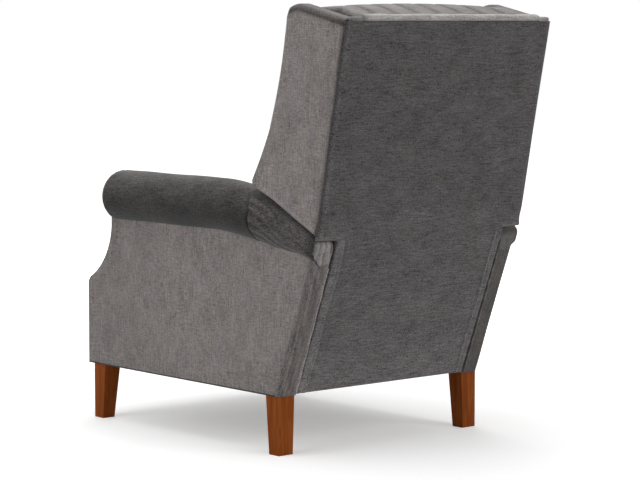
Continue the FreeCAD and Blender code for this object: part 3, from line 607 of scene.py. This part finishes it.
hoop = np.linspace(0, 2 * math.pi, 97)
hoop_r = ROLL_RADIUS - FACING_INSET
for side, way in SIDES:
    welt = tube("arm_roll_welt_" + side, way * (ROLL_X + hoop_r * np.sin(hoop)), ROLL_FRONT + 0.0022,
                ROLL_Z - hoop_r * np.cos(hoop), 0.0026)
    welt.data.materials.append(welt_cloth)
    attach(welt, "base")
    roll = closed_mesh("arm_roll_cover_" + side, roll_grid * (way, 1, 1))
    push(roll, roll_folds, way)
    paint_tone_and_light(roll, roll_painted_light, way)
    roll.data.materials.append(roll_cloth)
    roll.data.materials.append(end_cloth)
    faces_back = vectors(roll.data.polygons, "normal")[:, 1] > 0.62
    at_end = vectors(roll.data.polygons, "center")[:, 1] > 0.38
    roll.data.polygons.foreach_set("material_index", (faces_back & at_end).astype(np.int32))
    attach(roll, "base")
    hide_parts("arm_roll_" + side)

# OUTSIDE BACK: one drawn panel of cloth over webbing, wide above the arms and narrow between
# them, turned softly round its side edges to the seams with the wings.
back_cloth = cloth("cloth_back", (0.0885, 0.0832, 0.0845), "x", weave=0.42, blotch=0.18, fleck=0.35,
                   sheen=0.12)
BACK_WIDE, BACK_NARROW, BACK_FOOT, BACK_HEAD = 0.348, 0.285, 0.152, 1.0805
NOTCH, NOTCH_Y, LEAN_BELOW, LEAN_ABOVE, EASED = 0.549, 0.441, 0.39043, 0.20037, 0.060


def rear_face(z):
    """Y of the back's rear face: two straight leans that meet at the notch, drawn in by a
    squared sine of 2 mm where they meet."""
    lean = np.where(z < NOTCH, LEAN_BELOW, LEAN_ABOVE) * (z - NOTCH)
    t = ramp((z - NOTCH + EASED) / (2 * EASED))
    return NOTCH_Y + lean - 0.002025 * np.sin(math.pi * t) ** 2


# Side edge of the back from its foot to its head, with the step at the notch, its points
# close together by each turn
low_z = BACK_FOOT + (NOTCH - 0.002 - BACK_FOOT) * spread(52, 0.02, 0.03, 6)
high_z = NOTCH + 0.001 + (BACK_HEAD - NOTCH - 0.001) * spread(64, 0.05, 0.012, 9)
step_x = BACK_NARROW + (BACK_WIDE - BACK_NARROW) * spread(5, 0.08, 0.08, 3)[1:-1]
step_z = NOTCH - 0.002 + 0.003 * np.linspace(0, 1, len(step_x) + 2)[1:-1]
side_x = np.concatenate([0 * low_z + BACK_NARROW, step_x, 0 * high_z + BACK_WIDE])
side_z = np.concatenate([low_z, step_z, high_z])
side_run = np.concatenate([[0], np.cumsum(np.hypot(np.diff(side_x), np.diff(side_z)))])
left_edge, right_edge = np.column_stack([-side_x, side_z]), np.column_stack([side_x, side_z])
back_grid, (foot_edge, head_edge, *side_edges) = patch(
    [left_edge[0], right_edge[0]], [left_edge[-1], right_edge[-1]], [left_edge], [right_edge],
    spread(90, 0.06, 0.06, 22), side_run / side_run[-1])
step_at = int(np.searchsorted(side_z, NOTCH))
below, above = slice(step_at), slice(step_at - 1, None)
back_edges = [foot_edge, head_edge, *(edge[part] for edge in side_edges for part in (below, above))]
side_eases = [(0.006, 0.0035, 0.002), (0.024, 0.0115, 0.002)]
back_eases = [(0.005, 0.005, 0.002), (0.006, 0.005, 0.002), *side_eases, *side_eases]
back = stuffed_board("outside_back_cover", back_grid, back_edges, back_eases, 0.014,
                     lambda at: np.stack([at[:, 0], rear_face(at[:, 1]) - at[:, 2], at[:, 1]], 1), 4)


def from_side(x, z):
    """Distance in from the back's side edge, and from the ridge folded 24 mm inside it, which
    wanders by 2 mm."""
    edge = np.where(z < NOTCH, BACK_NARROW, BACK_WIDE) - np.abs(x)
    return edge, edge - (0.024 + 0.002 * np.sin(z * 31))


def back_folds(x, y, z, normal):
    """A folded ridge inside the lower sides, pulls across the strip outside it, long slack
    waves, a turned-up hem over the notches and small puckers at their inner corners."""
    facing = ramp(normal[:, 1] * 2 - 0.6)
    strip = ramp(normal[:, 1] * 3 - 0.5)
    edge, bend = from_side(x, z)
    low = ramp((NOTCH - 0.004 - z) / 0.02)
    hem = (0.0026 * ridge(bend, 0.0030) - 0.0012 * ridge(bend + 0.006, 0.004)) * low
    pulls = 0.0009 * np.sin(z * 210 + 4 * np.sin(z * 19) + edge * 90) * ridge(edge - 0.012, 0.012) * low
    slack = 0.0011 * np.sin(x * 17 + 1.5 * np.sin(z * 6)) * np.sin(z * 8 + 0.7)
    over = ramp((np.abs(x) - BACK_NARROW + 0.02) / 0.02) * (z > NOTCH)
    puckers = 0.0012 * np.sin(x * 120 + z * 90) * ridge(z - NOTCH - 0.02, 0.018)
    lip = over * (0.0018 * ridge(z - NOTCH - 0.006, 0.004) + puckers)
    return facing * slack + strip * (hem + pulls + lip)


def back_painted_light(x, y, z, normal):
    """Painted light a little low down and on the side strips, painted highlights on the folded
    ridge and the hem over the notches, and painted shade just inside the ridge and in the seams
    with the wings."""
    edge, bend = from_side(x, z)
    low = ramp((NOTCH + 0.004 - z) / 0.012)
    strip = ramp((0.002 - bend) / 0.004)
    shine = np.where(x > 0, 0.40, 0.18) + 0.13 * np.sin(edge * 900 + 3 * np.sin(z * 23))
    fold = 0.42 * ridge(bend + 0.001, 0.0030) - 0.14 * ridge(bend - 0.007, 0.005) - 0.25 * ridge(edge, 0.004)
    upper = 0.22 * ridge(edge - 0.009, 0.005) * (x > 0) - 0.25 * ridge(edge - 0.001, 0.0025)
    lip = 0.5 * ridge(z - NOTCH - 0.006, 0.004) * ramp((np.abs(x) - BACK_NARROW + 0.012) / 0.012)
    lighter = 0.27 * ramp((0.66 - z) / 0.30) + 0.50 * ramp((0.30 - z) / 0.13) - 0.05 * ramp((z - 0.7) / 0.2)
    return lighter + low * (shine * strip + fold) + (1 - low) * (upper + lip)


push(back, back_folds)
paint_tone_and_light(back, back_painted_light)
back.data.materials.append(back_cloth)
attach(back, "back")
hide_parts("back_outside_panel")

# TOP BAND: a narrow padded strip between the outside back and the channels of the inside,
# turned over the back's top edge; it runs on behind the wings as a thin soft edge.
# The top band's cloth is the side cloth made about half again as light: a painted highlight where it faces
# up.
top_cloth = cloth("cloth_top", (0.343, 0.323, 0.315), "x", weave=0.28, blotch=0.15, fleck=0.25, sheen=0.3)
BAND_HALF, BAND_Y, BAND_Z, BEHIND_WING = 0.340, 0.5240, 1.0880, 0.299


def fuller(share):
    """A circle's sine or cosine made squarer: its size to the power 0.75."""
    return np.sign(share) * np.abs(share) ** 0.75


def band_folds(x, y, z, normal):
    """Uneven waves of half a millimetre along the top."""
    return 0.0005 * np.sin(x * 70 + 2 * np.sin(x * 23)) * ramp(normal[:, 2])


def band_painted_light(x, y, z, normal):
    """Painted light on top and painted shade below, with slow changes along it and painted shade at the ends.
    """
    ends = -0.55 * ramp((x - 0.280) / 0.02) - 0.25 * ramp((-x - 0.290) / 0.04)
    return 0.08 * ramp(normal[:, 2]) - 0.22 * ramp(-normal[:, 2]) + 0.05 * np.sin(x * 41) + ends


around = np.linspace(0, 2 * math.pi, 32, endpoint=False)
band_end = np.concatenate([[BAND_HALF], np.linspace(BAND_HALF, 0.3345, 4)])
band_x = np.concatenate([-band_end, np.linspace(-0.3330, 0.3330, 200), band_end[::-1]])[:, None]
closing = np.sqrt(ramp((0.3405 - np.abs(band_x)) / 0.0075)) * (np.abs(band_x) < 0.33999)
thin = ramp((np.abs(band_x) - BEHIND_WING) / 0.0030)
band_deep = closing * (0.0240 - 0.0155 * thin) * fuller(np.cos(around))
band_high = closing * (0.0100 - 0.0035 * thin) * fuller(np.sin(around))
band = closed_mesh("top_band_cover", np.stack([
    band_x + 0 * around, BAND_Y + 0.0150 * thin + band_deep, BAND_Z - 0.0035 * thin + band_high], -1))
push(band, band_folds)
paint_tone_and_light(band, band_painted_light)
band.data.materials.append(top_cloth)
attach(band, "back")
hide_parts("back_top_band")

# WINGS: padded side panels of the back with a leaning front edge and a pointed nose over the
# roll. The side cloth is sewn to a top and front strip by a twin-needle seam.
WING_OUT, WING_THICK, WING_SEAM = 0.3477, 0.0477, 0.0145
nose = [(0.187, 0.6678), (0.261, 0.6389), (0.349, 0.5949), (float(rear_face(0.560)) - 0.0183, 0.560)]
nose_tip, hollow, shoulder, brow_front = (0.181, 0.6918), (0.247, 0.8172), (0.313, 1.079), (0.327, 1.115)
wing_front = [arc(nose[0], (0.179, 0.6758), nose_tip), arc(nose_tip, (0.214, 0.7499), hollow),
              arc(hollow, (0.289, 0.9576), shoulder), arc(shoulder, (0.3165, 1.099), brow_front)]
wing_rear = [nose[-1], *((float(rear_face(at)) - WING_SEAM, z) for at, z in ((0.612, 0.612), (1.083, 1.086)))]
brow = [arc(brow_front, (0.3425, 1.1205), (0.362, 1.123)), wing_rear[-1]]
wing_grid, wing_edges = patch([nose], brow, wing_front, wing_rear,
                              spread(54, 0.07, 0.06, 11), spread(110, 0.03, 0.03, 11))
wing_eases = ((0.009,) * 3, (0.012,) * 3, (0.012,) * 3, (0.010, 0.004, 0.004))


def on_wing(y, z):
    """Distances of a point of the wing from its top, front, rear and lower edges."""
    at = np.stack([y, z], 1)
    foot, crest, front = (off_edge(at, edge) for edge in wing_edges[:3])
    return crest, front, rear_face(z) - WING_SEAM - y, foot


def wing_folds(x, y, z, normal):
    """A twin-needle seam 16 mm inside the top edge with small puckers, a single one 7 mm
    inside the front edge, and a side that swells 3 mm, with soft waves."""
    crest, front, rear = on_wing(y, z)[:3]
    flat = ramp(np.abs(normal[:, 0]) * 2 - 1)
    under_crest = ramp((1.10 - z) / 0.06)
    swell = hump(rear / 0.22) * under_crest * ramp((z - 0.60) / 0.08)
    waves = np.sin(z * 21 + y * 12) * np.sin(y * 26) * under_crest
    sewn = ridge(crest - 0.0135, 0.0016) + ridge(crest - 0.0185, 0.0016) + 0.6 * ridge(front - 0.007, 0.0016)
    puckers = np.sin(y * 500) * ridge(crest - 0.016, 0.006)
    return flat * (0.0030 * swell + 0.0009 * waves - 0.0016 * sewn + 0.0004 * puckers)


def wing_tone_and_painted_light(x, y, z, normal, way):
    """Darker on the top strip, with painted shade in its seam and along the front edge; painted
    shade on the inner side, by the stitched rear corner and along the lower edge, whose lip
    gets a painted highlight and painted pleat shading behind."""
    crest, front, rear, foot = on_wing(y, z)
    outer = ramp(normal[:, 0] * way * 2 - 1)
    strip = -0.60 * ramp((0.0185 - crest) / 0.003) - 0.25 * ridge(crest - 0.0175, 0.0018)
    strip -= 0.12 * ridge(crest - 0.022, 0.006) + 0.30 * ridge(front - 0.002, 0.004)
    behind = np.maximum(rear, 0)
    corner = -0.15 * np.exp(-behind / 0.008) - 0.07 * np.exp(-behind / 0.05)
    pleats = 0.18 * np.sin((z - y) * 420) * ridge(foot - 0.014, 0.012) + 0.12 * ridge(foot - 0.02, 0.015)
    lip = -0.20 * ridge(foot, 0.005) + 0.12 * ridge(foot - 0.010, 0.005) + pleats * ramp((y - 0.38) / 0.03)
    return outer * (strip + corner + lip) - 0.42 * (1 - outer)


for side, way in SIDES:
    wing = stuffed_board("wing_cover_" + side, wing_grid, wing_edges, wing_eases, WING_THICK,
                         lambda at: np.stack([way * (WING_OUT - at[:, 2]), at[:, 0], at[:, 1]], 1), 10)
    push(wing, wing_folds)
    paint_tone_and_light(wing, wing_tone_and_painted_light, way)
    wing.data.materials.append(side_cloth)
    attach(wing, "back")
    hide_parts("wing_" + side)


# INSIDE BACK: eight upright channels of fibre fill, sewn through to a backing, that roll
# over the top edge. The cloth swells between the seams.
def apply_modifiers(obj):
    """Makes what an object's modifiers do its own smooth mesh."""
    ready = bpy.data.meshes.new_from_object(obj.evaluated_get(bpy.context.evaluated_depsgraph_get()))
    obj.modifiers.clear()
    obj.data = ready
    obj.data.materials.clear()
    obj.data.polygons.foreach_set("use_smooth", np.ones(len(obj.data.polygons), bool))


def skinned(node, name, cell):
    """The CAD solid as one skin of even cells, ready to be stuffed."""
    made = add_object(name, nodes[node].data.copy())
    work = bmesh.new()
    work.from_mesh(made.data)
    bmesh.ops.remove_doubles(work, verts=work.verts, dist=1e-5)
    work.to_mesh(made.data)
    work.free()
    even = made.modifiers.new("even", "REMESH")
    even.mode = "VOXEL"
    even.voxel_size = cell
    apply_modifiers(made)
    return made


def stuff(obj, pressure, cap, held, frames=20):
    """Swells the skin under inside pressure, holding the points marked held, and lets
    no point move farther than cap."""
    start = vectors(obj.data.vertices, "co")
    cushion = obj.modifiers.new("stuffing", "CLOTH")
    cushion.settings.use_pressure = True
    cushion.settings.uniform_pressure_force = pressure
    cushion.settings.effector_weights.gravity = 0
    cushion.settings.quality = 4
    cushion.settings.tension_stiffness = 12
    cushion.settings.compression_stiffness = 12
    cushion.settings.bending_stiffness = 0.4
    cushion.collision_settings.use_self_collision = False
    obj.vertex_groups.new(name="held").add(np.nonzero(held)[0].tolist(), 1.0, "REPLACE")
    cushion.settings.vertex_group_mass = "held"
    for number in range(1, frames + 1):
        bpy.context.scene.frame_set(number)
    apply_modifiers(obj)
    bpy.context.scene.frame_set(1)
    moved = vectors(obj.data.vertices, "co") - start
    length = np.linalg.norm(moved, axis=1)[:, None]
    move_points(obj, start + moved * np.minimum(1, cap / np.maximum(length, 1e-9)))
    obj.vertex_groups.clear()


def refine(obj):
    """One more round of subdivision."""
    finer = obj.modifiers.new("finer", "SUBSURF")
    finer.levels = finer.render_levels = 1
    apply_modifiers(obj)


WIDTH_AT = (0.34, 0.64, 0.705, 1.08, 1.113, 1.124)
HALF_WIDTH = (0.228, 0.235, 0.295, 0.296, 0.293, 0.287)


def channel_seam(x, z):
    """Distance across to the nearest of the nine seams, which stand a quarter of the half width
    apart and draw in between the arms."""
    half = np.interp(z, WIDTH_AT, HALF_WIDTH)
    pitch = half / 4
    return np.abs((x + half + pitch / 2) % pitch - pitch / 2)


def sewn_channels(x, y, z, normal):
    """Seams drawn in between the channels on the front and over the top, with gathers."""
    shown = ramp(np.maximum(-normal[:, 1], normal[:, 2]) * 1.5)
    seam = channel_seam(x, z)
    gather = np.sin(z * 190 + 3 * np.sin(x * 40)) * ridge(seam, 0.012)
    return shown * (-0.005 * ridge(seam, 0.0045) + 0.0007 * gather)


def channel_painted_light(x, y, z, normal):
    """Painted shade in the seams and beside them, painted highlights on the crests, with slow changes."""
    seam = channel_seam(x, z)
    dark = 0.45 * ridge(seam, 0.0035) + 0.12 * ridge(seam - 0.008, 0.006)
    return 0.08 * ramp(seam / 0.03) + 0.05 * np.sin(y * 90 + x * 60) - dark


inside_cloth = cloth("cloth_inside", (0.186, 0.170, 0.163), "z", weave=0.30, blotch=0.16, fleck=0.28)
inside = skinned("inside_back", "inside_back_cushion", 0.0065)
x, y, z = vectors(inside.data.vertices, "co").T
hidden = (y > rear_face(z) - 0.075) | (z < 0.36)
stuff(inside, pressure=3.0, cap=0.010, held=(channel_seam(x, z) < 0.004) | hidden)
push(inside, sewn_channels)
refine(inside)
paint_tone_and_light(inside, channel_painted_light)
inside.data.materials.append(inside_cloth)
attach(inside, "back")
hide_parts("inside_back")

# SEAT CUSHION: a foam core in a boxed cover, crowned on top, with a seam round the top and
# the bottom of its border.
seat_cloth = cloth("cloth_seat", (0.178, 0.163, 0.156), "x", weave=0.30, blotch=0.16, fleck=0.28)
BORDER_LOW, BORDER_HIGH = 0.366, 0.464


def seat_folds(x, y, z, normal):
    """Small puckers along the border's upper seam."""
    run = np.where(np.abs(x) > 0.25, y, x)
    near = ridge(z - BORDER_HIGH + 0.002, 0.012) * ramp(1 - normal[:, 2])
    return 0.0010 * near * np.sin(run * 150 + 2 * np.sin(run * 37))


cushion = skinned("seat_cushion", "seat_cushion_cover", 0.0065)
x, y, z = vectors(cushion.data.vertices, "co").T
sewn = (np.abs(z - BORDER_LOW) < 0.004) | (np.abs(z - BORDER_HIGH) < 0.004)
border = (np.abs(x) > 0.245) | (y < -0.465) | (y > 0.118)
stuff(cushion, pressure=3.0, cap=0.008, held=(sewn & border) | (z < BORDER_LOW - 0.004))
push(cushion, seat_folds)
refine(cushion)
cushion.data.materials.append(seat_cloth)
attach(cushion, "seat")
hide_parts("seat_cushion")

# SEAT DECK: the platform of cloth over webbing that is drawn across the springs, under the
# cushion, and stapled to the seat's rails.
low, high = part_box("seat_deck")
thick = high.z - low.z
deck_sides = [[(low.x, low.y), (high.x, low.y)], [(low.x, high.y), (high.x, high.y)],
              [(low.x, low.y), (low.x, high.y)], [(high.x, low.y), (high.x, high.y)]]
deck_grid, deck_edges = patch(*deck_sides, spread(40, 0.02, 0.02, 5), spread(40, 0.02, 0.02, 5))
deck = stuffed_board("seat_deck_cloth", deck_grid, deck_edges, ((thick * 0.45,) * 3,) * 4, thick,
                     lambda at: np.stack([at[:, 0], at[:, 1], high.z - at[:, 2]], 1), 3)
deck_cloth = cloth("cloth_deck", (0.09, 0.085, 0.082), "x", weave=0.12, blotch=0.1, fleck=0.2, sheen=0.1)
deck.data.materials.append(deck_cloth)
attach(deck, "seat")
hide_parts("seat_deck")

# FOOTREST: a padded board that closes the front under the seat cushion. The cloth is drawn
# round the board's edges, and a welt closes the seam between the board and the cushion.
low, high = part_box("footrest_board")
BOARD_CORNER, BOARD_EASE = 0.014, 0.003
quarter = (np.linspace(0, math.pi / 2, 9) + math.pi / 2 * np.arange(-1, 3)[:, None]).ravel()
to_right, to_top = np.repeat([1, 1, -1, -1], 9), np.repeat([-1, 1, 1, -1], 9)


def board_ring(inset, y, share=1.0):
    """The board's outline with round corners, drawn in by inset and scaled about its middle."""
    round_off = BOARD_CORNER - min(inset, 0.010)
    x = to_right * (high.x - inset - round_off) + round_off * np.cos(quarter)
    z = to_top * ((high.z - low.z) / 2 - inset - round_off) + round_off * np.sin(quarter)
    return np.stack([share * x, 0 * x + y, (low.z + high.z) / 2 + share * z], 1)


turn = np.linspace(0, math.pi / 2, 5)
edge_turn = list(zip(BOARD_EASE * (1 - np.sin(turn)), BOARD_EASE * (1 - np.cos(turn))))
rings = [board_ring(0.020, high.y, share) for share in (0, 0.5, 1)]
rings += [board_ring(inset, high.y - deep) for inset, deep in edge_turn]
rings += [board_ring(inset, low.y + deep) for inset, deep in edge_turn[::-1]]
rings += [board_ring(0.020, low.y, share) for share in (1, 0.5, 0)]
board = closed_mesh("footrest_board_cover", np.array(rings))
board.data.materials.append(seat_cloth)
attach(board, "footrest")
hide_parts("footrest_board")
seam = board_ring(0.0008, low.y + 0.0005)
seam_start = [[0.0, low.y + 0.0005, seam[:, 2].min()]]
welt = tube("footrest_welt", *np.concatenate([seam_start, seam, seam_start]).T, 0.0026)
welt.data.materials.append(welt_cloth)
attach(welt, "footrest")
pad = skinned("footrest_pad", "footrest_cushion", 0.005)
y = vectors(pad.data.vertices, "co")[:, 1]
stuff(pad, pressure=2.5, cap=0.005, held=y > y.max() - 0.006)
refine(pad)
pad.data.materials.append(seat_cloth)
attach(pad, "footrest")
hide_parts("footrest_pad")


# WOOD: square tapered legs in a clear amber cherry stain with a satin lacquer, and a raw
# hardwood frame inside. The posts and the seat's front rail, which show, are cloth covered.
def two_tones(tree, bsdf, pattern, dark, light, dark_at, light_at):
    """Colours a surface from dark to light between two values of a noise pattern."""
    tones = tree.nodes.new("ShaderNodeValToRGB")
    for stop, at, shade in zip(tones.color_ramp.elements, (dark_at, light_at), (dark, light)):
        stop.position = at
        stop.color = (*shade, 1)
    tree.links.new(pattern, tones.inputs["Fac"])
    tree.links.new(tones.outputs["Color"], bsdf.inputs["Base Color"])


def wood(name, light, dark, rough, lies):
    """Grain drawn out along x, y or z: noise ten times finer across the grain."""
    look, tree, bsdf = start_look(name)
    where = tree.nodes.new("ShaderNodeTexCoord")
    stretch = tree.nodes.new("ShaderNodeMapping")
    stretch.inputs["Scale"].default_value = [9 if axis == lies else 95 for axis in "xyz"]
    grain = tree.nodes.new("ShaderNodeTexNoise")
    grain.inputs["Scale"].default_value = 1.0
    grain.inputs["Detail"].default_value = 6.0
    grain.inputs["Distortion"].default_value = 1.2
    tree.links.new(where.outputs["Object"], stretch.inputs["Vector"])
    tree.links.new(stretch.outputs["Vector"], grain.inputs["Vector"])
    two_tones(tree, bsdf, grain.outputs["Fac"], dark, light, 0.32, 0.68)
    stand_up(tree, bsdf, grain.outputs["Fac"], 0.12, 0.0005)
    bsdf.inputs["Roughness"].default_value = rough
    bsdf.inputs["Specular IOR Level"].default_value = 0.06
    return look


def finish_nodes(look, *starts):
    """Gives one finish to every CAD piece whose name starts so."""
    for name in nodes:
        if name.startswith(starts):
            nodes[name].data.materials.clear()
            nodes[name].data.materials.append(look)


leg_wood = wood("wood_leg", (0.292, 0.078, 0.0135), (0.180, 0.041, 0.0065), rough=0.6, lies="z")
frame_wood = wood("wood_frame", (0.62, 0.47, 0.30), (0.42, 0.29, 0.16), rough=0.75, lies="x")
finish_nodes(leg_wood, "leg_")
finish_nodes(frame_wood, "arm_core", "back_rail", "seat_rail", "base_cross")
finish_nodes(side_cloth, "back_post")
finish_nodes(seat_cloth, "seat_rail_front")


# STEEL: plates, links and the footrest's cross tube, pressed from steel and enamelled black,
# and sinuous seat springs of oiled bright wire.
def enamel(name, shade, rough, metal):
    """A shade mottled by fine noise, from four fifths of it to five quarters."""
    look, tree, bsdf = start_look(name)
    where = tree.nodes.new("ShaderNodeTexCoord")
    spots = tree.nodes.new("ShaderNodeTexNoise")
    spots.inputs["Scale"].default_value = 260.0
    spots.inputs["Detail"].default_value = 4.0
    tree.links.new(where.outputs["Object"], spots.inputs["Vector"])
    two_tones(tree, bsdf, spots.outputs["Fac"], np.array(shade) * 0.8, np.array(shade) * 1.25, 0.35, 0.75)
    stand_up(tree, bsdf, spots.outputs["Fac"], 0.15, 0.0003)
    bsdf.inputs["Roughness"].default_value = rough
    bsdf.inputs["Metallic"].default_value = metal
    return look


wire_steel = enamel("steel_wire", (0.42, 0.43, 0.45), rough=0.32, metal=1.0)
black_steel = enamel("steel_black", (0.045, 0.045, 0.048), rough=0.42, metal=0.0)
finish_nodes(wire_steel, "seat_spring")
finish_nodes(black_steel, "base_side_plate", "back_pivot", "swing_link", "seat_side_plate", "footrest_lift",
             "footrest_cross", "footrest_carry", "footrest_stay", "footrest_bracket")
